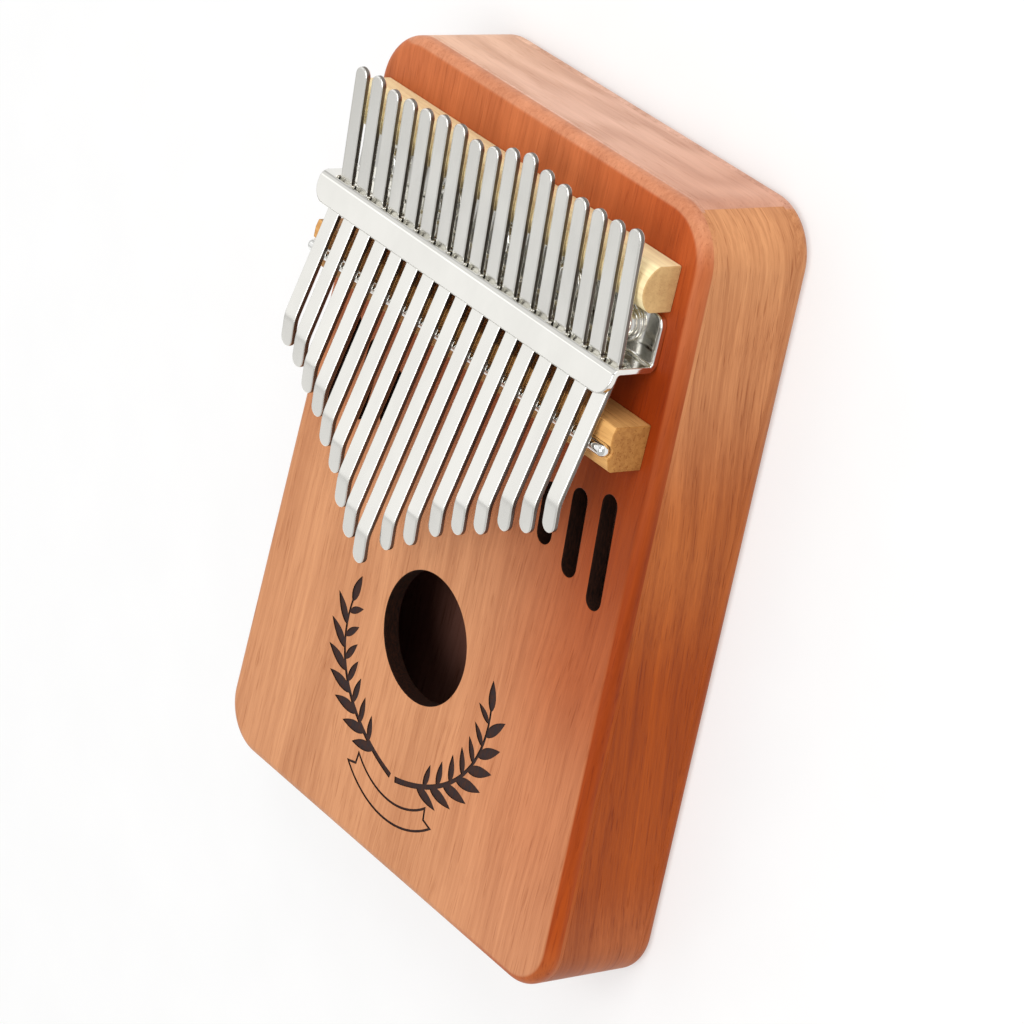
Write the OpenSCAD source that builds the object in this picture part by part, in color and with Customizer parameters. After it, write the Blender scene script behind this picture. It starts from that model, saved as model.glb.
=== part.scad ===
// Box kalimba with seventeen metal tines.
// Origin: middle of the flat back. +Y towards the tails of the tines,
// +Z out of the soundboard, +X to the right seen from the front with +Y up.

/* [Body] */
// Length of the body along the tines
body_len = 185; // [180:1:195]
// Width of the body at the tail end
tail_w = 117.5; // [115:0.5:122]
// Width of the body at the tongue end
tongue_w = 131; // [125:0.5:138]
// Thickness of the closed box
body_t = 30.5; // [28:0.5:36]
// Radius of the upright corners at the tail end
tail_corner_r = 13.3; // [8:0.1:14]
// Radius of the upright corners at the tongue end
tongue_corner_r = 12; // [8:0.1:14]
// Thickness of the soundboard and of the back panel
plate_t = 4.2; // [4:0.1:5.5]
// Rounding along the outer edge of the two panels
edge_r = 2.8; // [1:0.1:3.5]
// Thickness of the two side rails
side_rail_t = 8; // [6:0.5:10]
// Thickness of the rails at the two ends
end_rail_t = 10; // [8:0.5:12]

/* [Holes] */
// Radius of the sound hole
sound_hole_r = 15.5; // [12:0.5:18]
// Distance of the sound hole from the middle of the body
sound_hole_y = -34.2; // [-40:0.2:-32]
// Number of slots on each side of the soundboard
slots_each_side = 3; // [1:1:3]
// Width of a slot
slot_w = 5; // [4:0.5:6]
// Radius of the two vent holes in the back
vent_r = 5; // [4:0.5:7]

/* [Bridges] */
// Height of the grooved bridge that carries the saddle rod
lower_bridge_h = 9.8; // [9.6:0.1:9.9]
// Height of the domed bridge under the tails
upper_bridge_h = 8.9; // [8.5:0.1:8.9]
// Radius of the saddle rod
rod_r = 1.5; // [1.2:0.1:1.5]

/* [Bracket] */
// Thickness of the bracket sheet
sheet_t = 1.5; // [1.2:0.1:1.6]
// Length of the bracket along the row of tines
bracket_len = 111; // [110:0.5:112]
// Number of screws that hold the bracket
screws = 5; // [3:2:5]

/* [Tines] */
// Number of tines
tines = 17; // [17]
// Distance between neighbouring tines
pitch = 6.28; // [6.2:0.01:6.28]
// Width of a tine
tine_w = 4.2; // [3.8:0.1:4.4]
// Thickness of a tine
tine_t = 1.3; // [1.1:0.1:1.3]
// Length from the saddle rod to the tip of the middle tine
longest_tongue = 52.5; // [50:0.5:54]
// Rise of the tongues towards their tips, in degrees
tongue_rise = 13.3; // [12.8:0.1:13.6]
// Rise of the tails towards the upper bridge, in degrees
tail_rise = 4.5; // [4.2:0.1:4.8]

/* [Hidden] */
// Where the tail of each tine ends, staggered as the tuning leaves them
tail_y = [84, 84.3, 83.5, 83.8, 84, 85, 85.4, 84.3, 85.2,
          87.4, 88.8, 87.5, 86.8, 86.4, 86.5, 86.6, 87.2];
// Notes of the scale in semitones above the middle tine
scale_notes = [0, 2, 4, 5, 7, 9, 11, 12, 14, 16, 17, 19, 21, 23, 24, 26, 28];

// Body
half_len = body_len / 2;
front_z = body_t;
board_z = body_t - plate_t;
taper = (tongue_w - tail_w) / 2 / body_len;
taper_deg = atan(taper);
fine = 96;
arc_steps = 10;

// Slots in the soundboard: the outer ones are the longest
slot_y = 12;
slot_first_x = 30.3;
slot_pitch = 9.85;
slot_first_len = 14.2;
slot_growth = 6.1;
slot_lean = 5.5;

// Vent holes in the back
vent_x = 30;
vent_y = -20;

// Block under the soundboard for the bracket screws
block_y = [50, 72];
block_h = 12;

// Bridges, as lowest and highest y
lower_bridge_y = [34.2, 44.6];
lower_bridge_len = 113.5;
lower_bridge_x = -1.2;
upper_bridge_y = [69.5, 80];
upper_bridge_len = 108;
upper_bridge_x = -1;
dome_r = 6;
dome_y = 74.7;

// Saddle rod, lying in the groove of the lower bridge
rod_y = 38.9;
rod_z = front_z + 10.3;
rod_len = 113;
rod_x = -1.2;
groove_gap = 0.02;

// Bracket: flange on the soundboard, upright web, lip bent forward over the tines
bracket_x = -2.5;
web_y = 55.5;
flange_end_y = 68.2;
fold_r = 0.8;
web_top_z = front_z + 9.5;
lip_len = 5;
lip_rise = 12;
bracket_corner_r = 3.8;
slot_side_gap = 0.3;
slot_bottom_z = front_z + 7.5;
slot_top_z = front_z + 10.05;

// Screws of the bracket
screw_y = 63.4;
screw_span = 87.9;
screw_r = 1.5;
screw_hole_r = 1.7;
screw_head_r = 3.4;
screw_head_h = 2;
washer_r = 4.4;
washer_t = 0.7;
screw_depth = 9;

// Tines: the row sits a little left of the middle; play at the saddle rod lets a tine slide
row_x = -1;
rod_gap = 0.3;
tip_len = 7;
tip_drop = 4.5;
bend_r = 6;
knee_r = 4;
knuckle_r = tine_t / 2 - 0.02;
knuckle_gap = 0.07;
end_correction = 3.9;
bend_y = 56.4;

// Node names
function two_digits(i) = i < 10 ? str("0", i) : str(i);
function shank_name(i) = str("tine_", two_digits(i), "_shank");
function tongue_name(i) = str("tine_", two_digits(i), "_tongue");

// ---- geometry helpers ----

// Points on an arc, with its ends
function arc(c, r, a0, a1, n = arc_steps) =
    [for (k = [0:n]) c + r * [cos(a0 + (a1 - a0) * k / n), sin(a0 + (a1 - a0) * k / n)]];

// Half the body's width at y
function half_w(y) = tail_w / 2 + (half_len - y) * taper;

// Centre of a corner's arc, on the right at the tail end or the tongue end
function corner(end_y, r) = let(y = end_y - sign(end_y) * r) [half_w(y) - r / cos(taper_deg), y];
tail_corner = corner(half_len, tail_corner_r);
tongue_corner = corner(-half_len, tongue_corner_r);
function mirrored(p) = [-p[0], p[1]];

// Draws a YZ profile along X, centred on x = mid
module along_x(len, mid = 0) {
    translate([mid - len / 2, 0, 0])
        rotate([90, 0, 90])
            linear_extrude(len)
                children();
}

// Outline of the tapered body with round corners
module body_outline() {
    polygon(concat(
        arc(tail_corner, tail_corner_r, taper_deg, 90),
        arc(mirrored(tail_corner), tail_corner_r, 90, 180 - taper_deg),
        arc(mirrored(tongue_corner), tongue_corner_r, 180 - taper_deg, 270),
        arc(tongue_corner, tongue_corner_r, -90, taper_deg)));
}

// One corner of a panel: a disc with its upper edge rounded over
module panel_corner(centre, r) {
    for (m = [0, 1])
        mirror([m, 0, 0])
            translate(centre)
                rotate_extrude($fn = 48)
                    polygon(concat(
                        [[0, 0], [r, 0]],
                        arc([r - edge_r, plate_t - edge_r], edge_r, 0, 90, 6),
                        [[0, plate_t]]));
}

// A panel with its upper outer edge rounded over, standing on z = 0
module rounded_panel() {
    hull() {
        panel_corner(tail_corner, tail_corner_r);
        panel_corner(tongue_corner, tongue_corner_r);
    }
}

// Half the inside width of the box at y
function inner_w(y) = half_w(y) - side_rail_t / cos(taper_deg);

// Raises the part of the body outline inside a polygon to the height of the rails
module rail(points) {
    translate([0, 0, plate_t])
        linear_extrude(board_z - plate_t)
            intersection() {
                body_outline();
                polygon(points);
            }
}

// A rail across one end, between the side rails
module end_rail(y0, y1) {
    rail([[-inner_w(y0), y0], [inner_w(y0), y0], [inner_w(y1), y1], [-inner_w(y1), y1]]);
}

// A side rail runs the whole length and forms the round corners
module side_rail() {
    y1 = half_len + 1;
    color("sienna")
        rail([[inner_w(-y1), -y1], [tongue_w, -y1], [tongue_w, y1], [inner_w(y1), y1]]);
}

// ---- body ----

// A slot with round ends, numbered outwards from the middle
module board_slot(k) {
    len = slot_first_len + k * slot_growth - slot_w;
    translate([slot_first_x + k * slot_pitch, slot_y, board_z - 1])
        rotate([0, 0, slot_lean]) {
            translate([-slot_w / 2, -len / 2, 0])
                cube([slot_w, len, plate_t + 2]);
            for (s = [-1, 1])
                translate([0, s * len / 2, 0])
                    cylinder(h = plate_t + 2, r = slot_w / 2, $fn = fine);
        }
}

module soundboard() {
    color("peru")
        difference() {
            translate([0, 0, board_z])
                rounded_panel();
            translate([0, sound_hole_y, board_z - 1])
                cylinder(h = plate_t + 2, r = sound_hole_r, $fn = fine);
            for (k = [0:slots_each_side - 1], m = [0, 1])
                mirror([m, 0, 0])
                    board_slot(k);
            for (k = [0:screws - 1])
                translate([screw_x(k), screw_y, board_z - 1])
                    cylinder(h = plate_t + 2, r = screw_hole_r, $fn = 32);
        }
}

module back_panel() {
    color("chocolate")
        difference() {
            translate([0, 0, plate_t])
                mirror([0, 0, 1])
                    rounded_panel();
            for (s = [-1, 1])
                translate([s * vent_x, vent_y, -1])
                    cylinder(h = plate_t + 2, r = vent_r, $fn = fine);
        }
}

module side_rail_left() {
    mirror([1, 0, 0])
        side_rail();
}

module side_rail_right() {
    side_rail();
}

module tail_rail() {
    color("tan")
        end_rail(half_len - end_rail_t, half_len + 1);
}

module tongue_rail() {
    color("tan")
        end_rail(-half_len - 1, -half_len + end_rail_t);
}

// Hardwood block glued under the soundboard, with a pilot hole for each screw
module bracket_block() {
    y0 = block_y[0];
    y1 = block_y[1];
    color("burlywood")
        difference() {
            translate([0, 0, board_z - block_h])
                linear_extrude(block_h)
                    polygon([[-inner_w(y0), y0], [inner_w(y0), y0],
                             [inner_w(y1), y1], [-inner_w(y1), y1]]);
            for (k = [0:screws - 1])
                translate([screw_x(k), screw_y, board_z - screw_depth])
                    cylinder(h = screw_depth + 1, r = screw_r, $fn = 32);
        }
}

// ---- bridges and saddle rod ----

module saddle_rod() {
    straight = rod_len - 2 * rod_r;
    color("silver")
        translate([rod_x, rod_y, rod_z]) {
            rotate([0, 90, 0])
                cylinder(h = straight, r = rod_r, center = true, $fn = 48);
            for (s = [-1, 1])
                translate([s * straight / 2, 0, 0])
                    sphere(r = rod_r, $fn = 48);
        }
}

// Flat-sided bar with a low ridge and a groove in front of it
module lower_bridge() {
    y0 = lower_bridge_y[0];
    y1 = lower_bridge_y[1];
    color("goldenrod")
        difference() {
            along_x(lower_bridge_len, lower_bridge_x)
                polygon([[y0, front_z], [y1, front_z], [y1, front_z + lower_bridge_h - 0.5],
                         [y1 - 1.8, front_z + lower_bridge_h], [rod_y + 0.8, front_z + lower_bridge_h],
                         [y0 + 0.4, front_z + lower_bridge_h - 1], [y0, front_z + lower_bridge_h - 1.4]]);
            translate([lower_bridge_x, rod_y, rod_z])
                rotate([0, 90, 0])
                    cylinder(h = lower_bridge_len + 2, r = rod_r + groove_gap, center = true, $fn = 48);
        }
}

// Bar with a domed top that the tails lean on
module upper_bridge() {
    y0 = upper_bridge_y[0];
    y1 = upper_bridge_y[1];
    color("wheat")
        intersection() {
            along_x(upper_bridge_len, upper_bridge_x)
                translate([y0, front_z])
                    square([y1 - y0, upper_bridge_h + 1]);
            translate([upper_bridge_x, dome_y, front_z + upper_bridge_h - dome_r])
                dome();
        }
}

// The dome's cylinder and the straight cheeks below it
module dome() {
    union() {
        rotate([0, 90, 0])
            cylinder(h = upper_bridge_len + 2, r = dome_r, center = true, $fn = fine);
        translate([-upper_bridge_len / 2 - 1, -dome_r, -dome_r])
            cube([upper_bridge_len + 2, 2 * dome_r, dome_r]);
    }
}

// ---- bracket and its screws ----

function screw_x(k) = row_x + screw_span * (k / (screws - 1) - 0.5);

// Sheet profile: flange, fold, web, bend, lip
module bracket_profile() {
    foot = [web_y + sheet_t + fold_r, front_z + sheet_t + fold_r];
    head = [web_y - fold_r, web_top_z];
    along_lip = lip_len * [-cos(lip_rise), sin(lip_rise)];
    turn = 90 - lip_rise;
    under = head + fold_r * [cos(turn), sin(turn)];
    over = head + (fold_r + sheet_t) * [cos(turn), sin(turn)];
    polygon(concat(
        [[flange_end_y, front_z]],
        arc(foot, fold_r + sheet_t, 270, 180, 8),
        arc(head, fold_r, 0, turn, 8),
        [under + along_lip, over + along_lip],
        arc(head, fold_r + sheet_t, turn, 0, 8),
        arc(foot, fold_r, 180, 270, 8),
        [[flange_end_y, front_z + sheet_t]]));
}

// Plan of the bracket: a rectangle with round corners
module bracket_plan() {
    x = bracket_len / 2 - bracket_corner_r;
    y0 = web_y - fold_r - lip_len + bracket_corner_r;
    y1 = flange_end_y - bracket_corner_r;
    polygon(concat(
        arc([x, y1], bracket_corner_r, 0, 90, 8),
        arc([-x, y1], bracket_corner_r, 90, 180, 8),
        arc([-x, y0], bracket_corner_r, 180, 270, 8),
        arc([x, y0], bracket_corner_r, 270, 360, 8)));
}

module bracket() {
    gap_w = tine_w + 2 * slot_side_gap;
    color("silver")
        difference() {
            intersection() {
                along_x(bracket_len + 2, bracket_x)
                    bracket_profile();
                translate([bracket_x, 0, front_z - 1])
                    linear_extrude(20)
                        bracket_plan();
            }
            for (i = [1:tines])
                translate([tine_x(i) - gap_w / 2, web_y - 1, slot_bottom_z])
                    cube([gap_w, sheet_t + 2, slot_top_z - slot_bottom_z]);
            for (k = [0:screws - 1])
                translate([screw_x(k), screw_y, front_z - 1])
                    cylinder(h = sheet_t + 2, r = screw_hole_r, $fn = 32);
        }
}

module bracket_washers() {
    color("gainsboro")
        for (k = [0:screws - 1])
            translate([screw_x(k), screw_y, front_z + sheet_t])
                difference() {
                    cylinder(h = washer_t, r = washer_r, $fn = 48);
                    translate([0, 0, -1])
                        cylinder(h = washer_t + 2, r = screw_hole_r, $fn = 32);
                }
}

// A pan-head wood screw, drawn from its seat on the washer
module screw() {
    head_z = front_z + sheet_t + washer_t;
    tip_z = board_z - screw_depth;
    translate([0, 0, head_z])
        rotate_extrude($fn = 48)
            polygon(concat(
                [[0, 0], [screw_head_r, 0]],
                arc([screw_head_r - 1.2, screw_head_h - 1.2], 1.2, 0, 90, 6),
                [[0, screw_head_h]]));
    translate([0, 0, tip_z])
        cylinder(h = head_z - tip_z, r = screw_r, $fn = 32);
}

module bracket_screws() {
    color("gainsboro")
        difference() {
            for (k = [0:screws - 1])
                translate([screw_x(k), screw_y, 0])
                    screw();
            for (k = [0:screws - 1], a = [0, 90])
                translate([screw_x(k), screw_y, front_z + sheet_t + washer_t + screw_head_h])
                    rotate([0, 0, a + 20 * k])
                        cube([4, 0.7, 2], center = true);
        }
}

// ---- tines ----

function tine_x(i) = row_x + (i - (tines + 1) / 2) * pitch;

// Place of a tine in the scale: 0 for the middle one, odd ranks left, even right
function rank(i) = i == (tines + 1) / 2 ? 0
    : i < (tines + 1) / 2 ? (tines + 1) - 2 * i - 1
    : 2 * i - (tines + 1);

// A strip's length falls with the square root of its pitch ratio
function tongue_len(i) =
    (longest_tongue + end_correction) * pow(2, -scale_notes[rank(i)] / 24) - end_correction;

// Unit vectors in the YZ plane: along the tongue to its tip, and out of its face
tongue_dir = [-cos(tongue_rise), sin(tongue_rise)];
tongue_up = [sin(tongue_rise), cos(tongue_rise)];
tail_dir = [cos(tail_rise), sin(tail_rise)];
tail_up = [-sin(tail_rise), cos(tail_rise)];
tip_dir = [-cos(tip_drop), -sin(tip_drop)];
tip_up = [-sin(tip_drop), cos(tip_drop)];

// Underside of the strip over the saddle rod, and at the bend in the bracket
contact = [rod_y, rod_z] + (rod_r + rod_gap) * tongue_up;
bend_z = contact[1] - (bend_y - contact[0]) * tan(tongue_rise);
bend = [bend_y, bend_z];
hinge = contact + tine_t / 2 * tongue_up;

// Centre of an arc tangent to both faces of a bend of half angle a
bend_half = (tongue_rise + tail_rise) / 2;
knee_half = (tongue_rise + tip_drop) / 2;
bend_centre = bend + (bend_r + tine_t) / cos(bend_half)
    * [sin(tongue_rise - bend_half), cos(tongue_rise - bend_half)];

// Side view of the shank: tail, bend in the bracket, hollow end over the rod
module shank_profile(i) {
    tail = bend + tail_dir * (tail_y[i - 1] - bend_y) / cos(tail_rise);
    difference() {
        polygon(concat(
            [tail],
            arc(bend_centre, bend_r + tine_t, 270 + tail_rise, 270 - tongue_rise, 6),
            [contact, contact + tine_t * tongue_up],
            arc(bend_centre, bend_r, 270 - tongue_rise, 270 + tail_rise, 6),
            [tail + tine_t * tail_up]));
        translate(hinge)
            circle(r = knuckle_r + knuckle_gap, $fn = 48);
    }
}

// Side view of the tongue: rising strip, last stretch bent down
module tongue_profile(i) {
    knee = contact + tongue_dir * (tongue_len(i) - tip_len) / cos(tongue_rise);
    tip = knee + tip_dir * tip_len / cos(tip_drop);
    centre = knee - knee_r / cos(knee_half)
        * [sin(tongue_rise - knee_half), cos(tongue_rise - knee_half)];
    polygon(concat(
        [contact],
        arc(centre, knee_r, 90 - tongue_rise, 90 + tip_drop, 6),
        [tip, tip + tine_t * tip_up],
        arc(centre, knee_r + tine_t, 90 + tip_drop, 90 - tongue_rise, 6),
        [contact + tine_t * tongue_up]));
}

// Plan of a strip from the square end y0 to the round end y1
module strip_plan(y0, y1) {
    s = sign(y1 - y0);
    translate([0, 0, front_z])
        linear_extrude(40)
            union() {
                translate([-tine_w / 2, min(y0, y1 - s * tine_w / 2)])
                    square([tine_w, abs(y1 - y0) - tine_w / 2]);
                translate([0, y1 - s * tine_w / 2])
                    circle(r = tine_w / 2, $fn = 48);
            }
}

module tine_shank(i) {
    color("gainsboro")
        translate([tine_x(i), 0, 0])
            intersection() {
                along_x(tine_w + 1)
                    shank_profile(i);
                strip_plan(contact[0] - 2, tail_y[i - 1]);
            }
}

// The tongue's round knuckle lies in the hollow end of the shank
module tine_tongue(i) {
    color("whitesmoke")
        translate([tine_x(i), 0, 0]) {
            intersection() {
                along_x(tine_w + 1)
                    tongue_profile(i);
                strip_plan(contact[0] + 2, contact[0] - tongue_len(i));
            }
            translate([0, hinge[0], hinge[1]])
                rotate([0, 90, 0])
                    cylinder(h = tine_w, r = knuckle_r, center = true, $fn = 48);
        }
}

// ---- drawing ----

soundboard();
back_panel();
side_rail_left();
side_rail_right();
tail_rail();
tongue_rail();
bracket_block();
lower_bridge();
upper_bridge();
saddle_rod();
bracket();
bracket_washers();
bracket_screws();
for (i = [1:tines]) {
    tine_shank(i);
    tine_tongue(i);
}
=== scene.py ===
import math

import bpy
import bmesh
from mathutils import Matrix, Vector
from mathutils.geometry import delaunay_2d_cdt


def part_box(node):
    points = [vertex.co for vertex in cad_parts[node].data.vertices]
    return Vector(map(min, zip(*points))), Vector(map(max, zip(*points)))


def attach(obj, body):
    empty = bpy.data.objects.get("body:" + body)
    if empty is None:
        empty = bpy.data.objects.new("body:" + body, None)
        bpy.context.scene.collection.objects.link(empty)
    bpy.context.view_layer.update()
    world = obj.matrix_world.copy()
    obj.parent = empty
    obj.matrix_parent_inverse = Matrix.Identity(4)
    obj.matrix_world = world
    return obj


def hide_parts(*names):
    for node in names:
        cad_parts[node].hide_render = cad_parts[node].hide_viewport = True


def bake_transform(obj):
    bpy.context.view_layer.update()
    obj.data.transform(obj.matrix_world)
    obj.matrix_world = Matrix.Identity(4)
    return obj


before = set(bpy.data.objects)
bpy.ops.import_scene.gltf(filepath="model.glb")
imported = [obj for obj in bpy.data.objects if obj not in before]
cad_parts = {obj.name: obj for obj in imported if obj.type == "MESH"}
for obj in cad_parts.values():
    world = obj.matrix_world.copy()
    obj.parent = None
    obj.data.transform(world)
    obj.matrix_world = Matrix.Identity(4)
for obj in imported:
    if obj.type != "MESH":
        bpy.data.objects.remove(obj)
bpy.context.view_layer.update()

# Sizes are in millimetres, as in the CAD source, and meshes are scaled to metres. The camera, the
# lights and the floor are in metres.
MM = 0.001

# ---- sizes of the frame ----
lo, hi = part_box("soundboard")
HALF_LEN, FRONT_Z, BOARD_Z = hi[1] / MM, hi[2] / MM, lo[2] / MM
PLATE = FRONT_Z - BOARD_Z
TAIL_W, TONGUE_W = 117.5, 131.0
TAIL_CORNER, TONGUE_CORNER = 13.3, 12.0
EDGE_R = 2.8
SIDE_RAIL, END_RAIL = 8.0, 10.0
TAPER = (TONGUE_W - TAIL_W) / 2 / (2 * HALF_LEN)
TAPER_DEG = math.degrees(math.atan(TAPER))
HOLE_R, HOLE_Y = 15.5, -34.2
SLOT_W = 5.0
# Slots on one side as x, y and the length of the straight part; the outer ones are the longest.
SLOTS = [(30.3 + 9.85 * k, 12.0, 14.2 + 6.1 * k - SLOT_W) for k in range(3)]
SLOT_LEAN = 5.5
# Vents in the back as x, y and radius.
VENTS = [(-30.0, -20.0, 5.0), (30.0, -20.0, 5.0)]
TINES = range(1, 18)


# ---- camera: a product shot from above the right of the tail end, places in metres ----
CAMERA_AT = (0.67051, 0.36997, 0.61039)
CAMERA_TARGET = (0.01903, 0.00681, 0.03052)
CAMERA_ROLL = 95.494
CAMERA_LENS = 151.317
CAMERA_SENSOR = 36.0


def make_camera():
    """Looks from CAMERA_AT to CAMERA_TARGET, rolled about the line of sight."""
    data = bpy.data.cameras.new("camera")
    data.sensor_width = CAMERA_SENSOR
    data.lens = CAMERA_LENS
    data.clip_end = 20
    cam = bpy.data.objects.new("camera", data)
    bpy.context.scene.collection.objects.link(cam)
    forward = (Vector(CAMERA_TARGET) - Vector(CAMERA_AT)).normalized()
    right = forward.cross(Vector((0, 0, 1))).normalized()
    up = right.cross(forward)
    roll = math.radians(CAMERA_ROLL)
    cam_up = up * math.cos(roll) + right * math.sin(roll)
    cam_right = forward.cross(cam_up)
    m = cam.matrix_world.copy()
    for row in range(3):
        m[row][0] = cam_right[row]
        m[row][1] = cam_up[row]
        m[row][2] = -forward[row]
        m[row][3] = CAMERA_AT[row]
    cam.matrix_world = m
    bpy.context.scene.camera = cam


# ---- materials ----
def srgb(r, g, b):
    def lin(v):
        v /= 255
        return v / 12.92 if v <= 0.04045 else ((v + 0.055) / 1.055) ** 2.4
    return (lin(r), lin(g), lin(b), 1.0)


class Shade:
    """A material's node tree, built with short calls."""

    def __init__(self, name, **surface):
        self.mat = bpy.data.materials.new(name)
        self.mat.use_nodes = True
        self.tree = self.mat.node_tree
        self.bsdf = self.tree.nodes["Principled BSDF"]
        for key, value in surface.items():
            self.bsdf.inputs[key.replace("_", " ")].default_value = value
        self.position = self.tree.nodes.new("ShaderNodeTexCoord").outputs["Object"]

    def put(self, socket, value):
        if isinstance(value, bpy.types.NodeSocket):
            self.tree.links.new(value, socket)
        else:
            socket.default_value = value

    def math(self, op, a, b=0.0):
        n = self.tree.nodes.new("ShaderNodeMath")
        n.operation = op
        for k, v in enumerate((a, b)):
            self.put(n.inputs[k], v)
        return n.outputs[0]

    def vector(self, op, a, b):
        n = self.tree.nodes.new("ShaderNodeVectorMath")
        n.operation = op
        self.put(n.inputs[0], a)
        self.put(n.inputs[1], b)
        return n.outputs[0]

    def rotated(self, v, axis, degrees):
        n = self.tree.nodes.new("ShaderNodeVectorRotate")
        n.rotation_type = axis + "_AXIS"
        self.put(n.inputs["Vector"], v)
        n.inputs["Angle"].default_value = math.radians(degrees)
        return n.outputs[0]

    def split(self, v):
        n = self.tree.nodes.new("ShaderNodeSeparateXYZ")
        self.put(n.inputs[0], v)
        return n.outputs[0], n.outputs[1], n.outputs[2]

    def join(self, x, y, z):
        n = self.tree.nodes.new("ShaderNodeCombineXYZ")
        for k, v in enumerate((x, y, z)):
            self.put(n.inputs[k], v)
        return n.outputs[0]

    def noise(self, v, detail=2.0, rough=0.5):
        n = self.tree.nodes.new("ShaderNodeTexNoise")
        self.put(n.inputs["Vector"], v)
        n.inputs["Scale"].default_value = 1.0
        n.inputs["Detail"].default_value = detail
        n.inputs["Roughness"].default_value = rough
        return n.outputs[0]

    def spread(self, v, a, b, to_a=0.0, to_b=1.0, smooth=True):
        n = self.tree.nodes.new("ShaderNodeMapRange")
        n.interpolation_type = "SMOOTHSTEP" if smooth else "LINEAR"
        self.put(n.inputs["Value"], v)
        for key, value in zip(("From Min", "From Max", "To Min", "To Max"), (a, b, to_a, to_b)):
            n.inputs[key].default_value = value
        return n.outputs[0]

    def ramp(self, v, stops):
        """Colour by value: stops are (value, colour), rising."""
        first, last = stops[0][0], stops[-1][0]
        t = self.spread(v, first, last, smooth=False)
        n = self.tree.nodes.new("ShaderNodeValToRGB")
        n.color_ramp.interpolation = "EASE"
        e = n.color_ramp.elements
        while len(e) < len(stops):
            e.new(0.5)
        for k, (at, colour) in enumerate(stops):
            e[k].position = (at - first) / (last - first)
            e[k].color = colour
        self.put(n.inputs[0], t)
        return n.outputs[0]

    def mix(self, t, a, b, blend="MIX"):
        n = self.tree.nodes.new("ShaderNodeMix")
        n.data_type = "RGBA"
        n.blend_type = blend
        self.put(n.inputs[0], t)
        self.put(n.inputs[6], a)
        self.put(n.inputs[7], b)
        return n.outputs[2]

    def bump(self, height, strength, distance):
        n = self.tree.nodes.new("ShaderNodeBump")
        n.inputs["Strength"].default_value = strength
        n.inputs["Distance"].default_value = distance
        self.put(n.inputs["Height"], height)
        return n.outputs[0]

    def set(self, key, value):
        self.put(self.bsdf.inputs[key], value)


def wood(name, tone, along="Y", tilt=0.0, offset=(0, 0, 0), streak=0.5, pores=0.5, bands=0.5,
         figure=0.0, gloss=0.42, shine=0.14, across=1.0):
    """Satin wood. tone(shade, x, y, z) gives the ground colour at a place in millimetres.

    along and tilt turn the grain, offset picks another piece of the plank, and streak, pores,
    bands and figure are the strengths of the fibres, the open pores, the broad bands and the
    curly figure of a flat-sawn end."""
    s = Shade(name, Specular_IOR_Level=shine)
    mm = s.vector("MULTIPLY", s.position, (1 / MM, 1 / MM, 1 / MM))
    x, y, z = s.split(mm)
    ground = tone(s, x, y, z)
    p = s.vector("ADD", mm, offset)
    if tilt:
        p = s.rotated(p, "X", tilt)
    if along == "X":
        p = s.rotated(p, "Z", 90.0)
    if across != 1.0:
        p = s.vector("MULTIPLY", p, (across, 1.0, 1.0))
    wander = s.noise(s.vector("MULTIPLY", p, (0.02, 0.012, 0.02)), 1.0)
    p = s.vector("ADD", p, s.join(s.math("MULTIPLY", wander, 9.0), 0.0, s.math("MULTIPLY", wander, 6.0)))
    broad = s.noise(s.vector("MULTIPLY", p, (0.11, 0.009, 0.11)), 2.0, 0.55)
    fibre = s.noise(s.vector("MULTIPLY", p, (0.85, 0.022, 0.85)), 4.0, 0.62)
    thread = s.noise(s.vector("MULTIPLY", p, (5.5, 0.16, 5.5)), 2.0, 0.6)
    vessel = s.noise(s.vector("MULTIPLY", p, (2.9, 0.11, 2.9)), 1.0, 0.4)
    vessel = s.spread(vessel, 0.60, 0.74)
    value = s.math("ADD", s.spread(broad, 0.3, 0.7, -0.5 * bands, 0.5 * bands),
                   s.spread(fibre, 0.25, 0.75, -0.5 * streak, 0.5 * streak))
    value = s.math("ADD", value, s.spread(thread, 0.2, 0.8, -0.25 * streak, 0.25 * streak))
    if figure:
        warp = s.noise(s.vector("MULTIPLY", mm, (0.035, 0.0, 0.06)), 1.0, 0.5)
        squared = s.math("MULTIPLY", x, x)
        bowed = s.math("ADD", s.math("MULTIPLY", x, 0.30), s.math("MULTIPLY", squared, 0.0032))
        ripple = s.math("MULTIPLY", s.math("ADD", z, bowed), 0.42)
        phase = s.math("ADD", ripple, s.math("MULTIPLY", warp, 13.0))
        value = s.math("ADD", value, s.math("MULTIPLY", s.math("SINE", phase), figure))
    value = s.math("SUBTRACT", value, s.math("MULTIPLY", vessel, pores))
    dark = s.mix(1.0, ground, (0.60, 0.46, 0.38, 1.0), "MULTIPLY")
    light = s.mix(1.0, ground, (1.32, 1.42, 1.50, 1.0), "MULTIPLY")
    s.set("Base Color", s.mix(s.spread(value, -1.0, 1.0, smooth=False), dark, light))
    s.set("Roughness", s.spread(s.math("ADD", fibre, s.math("MULTIPLY", vessel, 0.5)),
                                0.2, 1.0, gloss - 0.06, gloss + 0.16, smooth=False))
    height = s.math("SUBTRACT", s.math("MULTIPLY", thread, 0.5), vessel)
    s.set("Normal", s.bump(height, 0.35, 0.00008))
    return s.mat


def plain(colour):
    """One ground colour everywhere."""
    return lambda s, x, y, z: colour


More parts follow.
